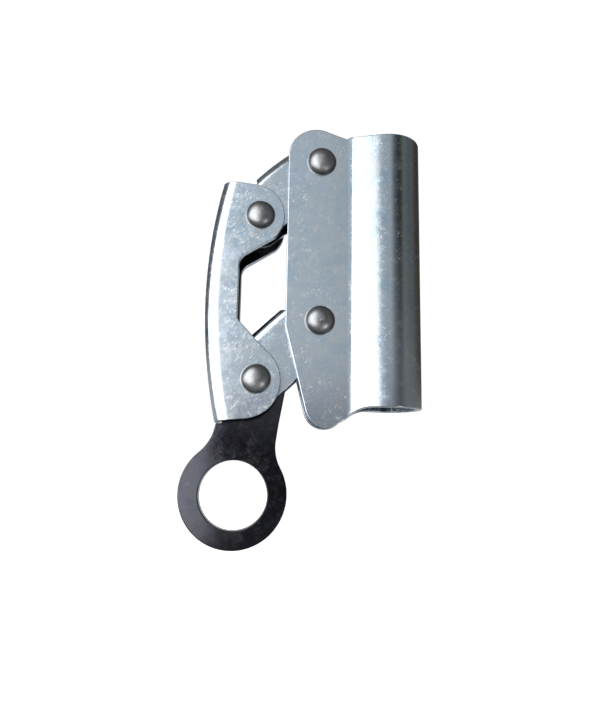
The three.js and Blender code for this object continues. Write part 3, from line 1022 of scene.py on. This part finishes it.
finish_piece(sleeve(), "sleeve", "plate_steel", ["sleeve"], ZINC_TUBE_SHADE, ZINC_TUBE_SHADE)
finish_piece(handle(), "handle", "plate_steel", ["handle"], ZINC, ZINC_INSIDE_SHADE)
finish_piece(upper_arm(), "upper_arm", "plate_steel", ["upper_arm"], ZINC, ZINC_INSIDE_SHADE)
finish_piece(lower_arm(), "lower_arm", "plate_steel", ["lower_arm"], ZINC, ZINC_INSIDE_SHADE)
finish_piece(eye_plate(), "eye_plate", "dark_steel", ["eye_plate"], EYE_STEEL, EYE_STEEL)
for part, body, centre in (
    ("sleeve_rivet_upper", "sleeve", SLEEVE_UPPER),
    ("sleeve_rivet_lower", "sleeve", SLEEVE_LOWER),
    ("handle_rivet_upper", "handle", HANDLE_UPPER),
    ("handle_rivet_lower", "handle", HANDLE_LOWER),
):
    finish_piece(rivet(part + "_domed", centre), body, "rivet_steel", [part], RIVET_STEEL)
    sleeved = part.replace("rivet", "bush")
    finish_piece(bush(sleeved + "_turned", centre), body, "bush_bronze", [sleeved], BRONZE)
for level, body, centre in (
    ("upper", "upper_arm", SLEEVE_UPPER),
    ("lower", "lower_arm", SLEEVE_LOWER),
):
    finish_piece(jaw(level + "_jaw_cast", centre), body, "jaw_steel", [level + "_jaw"], JAW_STEEL, JAW_STEEL)
    pin = level + "_jaw_pin"
    finish_piece(dowel(pin + "_turned", centre), body, "bright_steel", [pin], BRIGHT)
for side, sign in (("front", -1), ("back", 1)):
    node = "eye_washer_" + side
    finish_piece(washer(node + "_pressed", sign), "handle", "bright_steel", [node], BRIGHT)

coil = spring("torsion_spring_wound")
coil.data.materials.append(BRIGHT)
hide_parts("torsion_spring")
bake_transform(coil)


# ---- Camera ----

def aim_camera():
    """The photograph's viewpoint: below the middle of the rope grab, looking up at it."""
    camera = bpy.data.objects.new("camera", bpy.data.cameras.new("camera"))
    bpy.context.scene.collection.objects.link(camera)
    yaw, pitch, roll = (math.radians(angle) for angle in CAMERA_TURN)
    turn = (
        Matrix.Rotation(yaw, 3, "Z")
        @ Matrix.Rotation(pitch, 3, "X")
        @ Matrix.Rotation(roll, 3, "Y")
    )
    right, ahead, up = turn.col[0], turn.col[1], turn.col[2]
    pose = Matrix((right, up, -ahead)).transposed().to_4x4()
    pose.translation = Vector(CAMERA_PLACE) * MM
    camera.matrix_world = pose
    camera.data.sensor_width = 36
    camera.data.lens = CAMERA_LENS
    camera.data.clip_start = 0.01
    camera.data.clip_end = 50
    bpy.context.scene.camera = camera


# ---- Studio ----

ROOM_STRENGTH = 4.0           # a ramp's colours stay within 1, so the room's colours are stored divided by it


def degrees_ramp(kit, angle, stops):
    """A ramp over -180 to 180 degrees, its colours divided by the room's strength."""
    share = kit.math("ADD", kit.math("MULTIPLY", angle, 1 / 360), 0.5)
    return kit.ramp(share, [
        ((turn + 180) / 360, tuple(c / ROOM_STRENGTH for c in colour)) for turn, colour in stops
    ])


def build_world():
    """The room that the steel reflects, while the camera itself sees plain white.

    It is pale in front, dark to the right, left and overhead, and has a bright panel behind on the left.
    A level band of it is dark in front, for the eye plate.
    """
    world = bpy.data.worlds.new("studio")
    world.use_nodes = True
    bpy.context.scene.world = world
    tree = world.node_tree
    kit = Nodes(tree)
    way = kit.add("ShaderNodeTexCoord").outputs["Generated"]
    split = kit.add("ShaderNodeSeparateXYZ")
    kit.link(way, split.inputs[0])
    x, y, z = split.outputs
    angle = kit.math("ARCTAN2", x, kit.math("MULTIPLY", y, -1.0))
    angle = kit.math("MULTIPLY", angle, 180 / math.pi)
    left = [
        (-180, (0.60, 0.62, 0.64)), (-172, (0.60, 0.62, 0.64)), (-168, (1.9, 1.9, 1.9)),
        (-150, (1.9, 1.9, 1.9)), (-144, (0.12, 0.12, 0.13)), (-66, (0.13, 0.13, 0.14)),
        (-56, (0.60, 0.62, 0.64)),
    ]
    upper = degrees_ramp(kit, angle, left + [
        (-30, (0.70, 0.76, 0.80)), (-20, (0.44, 0.49, 0.52)), (-9, (0.50, 0.56, 0.60)),
        (3, (0.55, 0.60, 0.64)), (8, (0.42, 0.45, 0.47)), (17, (0.15, 0.155, 0.16)),
        (33, (0.03, 0.033, 0.038)), (42, (0.05, 0.055, 0.05)), (52, (0.20, 0.21, 0.18)),
        (72, (0.12, 0.14, 0.15)), (92, (0.14, 0.14, 0.14)), (104, (0.09, 0.07, 0.055)),
        (128, (0.055, 0.042, 0.032)), (150, (0.10, 0.09, 0.08)), (180, (0.60, 0.62, 0.64)),
    ])
    lower = degrees_ramp(kit, angle, left + [
        (-30, (0.66, 0.70, 0.74)), (-20, (0.45, 0.48, 0.51)), (-9, (0.52, 0.56, 0.60)),
        (3, (0.58, 0.61, 0.64)), (9, (0.46, 0.48, 0.49)), (20, (0.29, 0.29, 0.29)),
        (33, (0.16, 0.165, 0.17)), (54, (0.28, 0.28, 0.28)), (92, (0.18, 0.175, 0.16)),
        (120, (0.11, 0.09, 0.07)), (150, (0.08, 0.065, 0.05)), (180, (0.60, 0.62, 0.64)),
    ])
    level = degrees_ramp(kit, angle, [
        (-180, (0.60, 0.61, 0.62)), (-100, (0.40, 0.41, 0.42)), (-60, (0.60, 0.62, 0.64)),
        (-14, (0.60, 0.62, 0.65)), (-5, (0.10, 0.10, 0.12)), (40, (0.07, 0.07, 0.075)),
        (70, (0.30, 0.30, 0.30)), (180, (0.60, 0.61, 0.62)),
    ])
    rise = kit.ramp(z, [(0.14, 0.0), (0.34, 1.0)])
    around = kit.blend(rise, lower, upper)
    drop = kit.ramp(kit.math("ADD", z, 0.5), [(0.545, 0.0), (0.625, 1.0)])
    around = kit.blend(drop, level, around)
    ground = kit.ramp(kit.math("ADD", z, 0.5), [(0.2, 1.0), (0.38, 0.0)])
    around = kit.blend(ground, around, (0.075, 0.077, 0.08))
    ceiling = kit.ramp(z, [(0.6, 0.0), (0.8, 1.0)])
    around = kit.blend(ceiling, around, (0.035, 0.036, 0.037))
    room = kit.add("ShaderNodeBackground")
    kit.link(around, room.inputs["Color"])
    room.inputs["Strength"].default_value = ROOM_STRENGTH
    plain = kit.add("ShaderNodeBackground")
    plain.inputs["Color"].default_value = (1, 1, 1, 1)
    plain.inputs["Strength"].default_value = 1.05
    ray = kit.add("ShaderNodeLightPath")
    pick = kit.add("ShaderNodeMixShader")
    kit.link(ray.outputs["Is Camera Ray"], pick.inputs[0])
    kit.link(room.outputs[0], pick.inputs[1])
    kit.link(plain.outputs[0], pick.inputs[2])
    out = next(n for n in tree.nodes if n.type == "OUTPUT_WORLD")
    kit.link(pick.outputs[0], out.inputs["Surface"])


def build_floor():
    """A plain white floor well below the hanging rope grab."""
    mesh = bpy.data.meshes.new("floor")
    signs = ((-1, -1), (1, -1), (1, 1), (-1, 1))
    corners = [(FLOOR_REACH * a, FLOOR_REACH * b, FLOOR_LEVEL) for a, b in signs]
    mesh.from_pydata(corners, [], [(0, 1, 2, 3)])
    floor = bpy.data.objects.new("floor", mesh)
    bpy.context.scene.collection.objects.link(floor)
    paint = bpy.data.materials.new("floor_white")
    paint.use_nodes = True
    shader = paint.node_tree.nodes["Principled BSDF"]
    shader.inputs["Base Color"].default_value = (0.9, 0.9, 0.9, 1)
    shader.inputs["Roughness"].default_value = 0.9
    shader.inputs["Emission Color"].default_value = (1, 1, 1, 1)
    shader.inputs["Emission Strength"].default_value = 1.0
    mesh.materials.append(paint)
    floor.visible_glossy = False
    floor.visible_diffuse = False


def softbox(name, spot, target, width, height, glow, lean=0.0):
    """A rectangular light whose face has the given brightness, leaning by some degrees."""
    data = bpy.data.lights.new(name, "AREA")
    data.shape = "RECTANGLE"
    data.size = width
    data.size_y = height
    data.energy = glow * math.pi * width * height
    light = bpy.data.objects.new(name, data)
    light.location = spot
    aim = (Vector(target) - Vector(spot)).to_track_quat("-Z", "Y").to_matrix()
    light.rotation_euler = (aim @ Matrix.Rotation(math.radians(lean), 3, "Z")).to_euler()
    light.visible_camera = False
    bpy.context.scene.collection.objects.link(light)


aim_camera()
build_world()
build_floor()
window_x, window_z = WINDOW_EDGE - WINDOW_WIDTH / 2, (WINDOW_LOW + WINDOW_HIGH) / 2
softbox(
    "window", (window_x, WINDOW_Y, window_z), (window_x, 0, window_z),
    WINDOW_WIDTH, WINDOW_HIGH - WINDOW_LOW, 2.3, WINDOW_LEAN,
)
softbox("low_right", (0.2, -0.3, -0.24), (-0.04, 0, 0), 0.12, 0.12, 3.0)
bpy.context.scene.view_settings.view_transform = "Standard"
